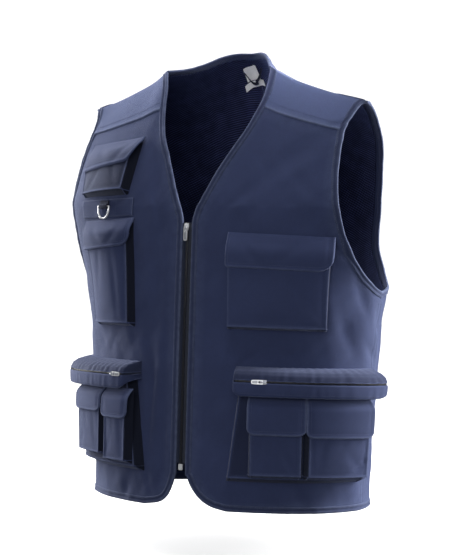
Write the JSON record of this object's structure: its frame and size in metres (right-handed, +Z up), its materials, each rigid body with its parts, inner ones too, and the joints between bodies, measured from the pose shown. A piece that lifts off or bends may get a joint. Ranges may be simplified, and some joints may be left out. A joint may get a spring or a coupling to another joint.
{
  "type": "utility work vest",
  "caption": "Sleeveless utility work vest, open at the V neck and armholes, with a front zip, bound edges, flap pockets, zipped bellows pockets and a hanging D-ring.",
  "frame": {"origin": "midway between the two neck points, where the vest hangs on the shoulders", "axes": "+Z up the body, -Y out of the front the wearer faces, +X towards the wearer's left"},
  "size_m": [0.5046, 0.3585, 0.6483],
  "materials": {
    "cloth": "matt twill",
    "light_cloth": "matt twill",
    "binding": "matt folded tape",
    "lining": "fine mesh",
    "zip": "black coil and tape",
    "steel": "polished",
    "label": "plain white"
  },
  "bodies": {
    "vest": {"armhole_binding_left": "binding", "armhole_binding_right": "binding", "back_lining": "lining", "back_neck_binding": "binding", "back_panel": "cloth", "chest_flap_left": "cloth", "chest_pocket_left": "cloth", "front_binding_left": "binding", "front_binding_right": "binding", "front_panel_left": "cloth", "front_panel_right": "cloth", "hanging_loop": "binding", "hem_binding": "binding", "inner_small_flap_left": "cloth", "inner_small_flap_right": "cloth", "inner_small_pocket_left": "cloth", "inner_small_pocket_right": "cloth", "lid_band_left": "cloth", "lid_band_right": "cloth", "lid_left": "cloth", "lid_right": "cloth", "lid_zip_left": "zip", "lid_zip_left_slider": "steel", "lid_zip_right": "zip", "lid_zip_right_slider": "steel", "lower_pocket_left": "cloth", "lower_pocket_right": "cloth", "neck_label": "label", "outer_small_flap_left": "cloth", "outer_small_flap_right": "cloth", "outer_small_pocket_left": "cloth", "outer_small_pocket_right": "cloth", "ring_loop": "binding", "ring_tape": "cloth", "size_label": "label", "tall_flap_right": "cloth", "tall_pocket_right": "cloth", "upper_flap_right": "cloth", "upper_pocket_right": "cloth", "yoke_left": "light_cloth", "yoke_right": "light_cloth", "zip_end_box": "steel", "zip_slider": "steel", "zip_tape_left": "zip", "zip_tape_right": "zip", "zip_teeth_left": "zip", "zip_teeth_right": "zip"},
    "main_zip_pull": {"zip_pull": "steel"},
    "left_lid_zip_pull": {"lid_zip_left_pull": "steel"},
    "right_lid_zip_pull": {"lid_zip_right_pull": "steel"},
    "ring": {"d_ring": "steel"}
  },
  "joints": [
    {"name": "main_zip_pull_hinge", "type": "hinge", "parent": "vest", "child": "main_zip_pull", "pos_m": [0, -0.08009, -0.22938], "axis": [-1, 0, 0], "range_deg": [0, 120]},
    {"name": "left_lid_zip_pull_hinge", "type": "hinge", "parent": "vest", "child": "left_lid_zip_pull", "pos_m": [0.12886, -0.0897, -0.43418], "axis": [0.0159, -0.0162, 0.9997], "range_deg": [0, 120]},
    {"name": "right_lid_zip_pull_hinge", "type": "hinge", "parent": "vest", "child": "right_lid_zip_pull", "pos_m": [-0.10021, -0.09977, -0.43389], "axis": [0.0081, 0.0114, -0.9999], "range_deg": [0, 120]},
    {"name": "d_ring_hinge", "type": "hinge", "parent": "vest", "child": "ring", "pos_m": [-0.14534, -0.06259, -0.19963], "axis": [-0.9609, 0.277, 0.0004], "range_deg": [0, 100]}
  ]
}
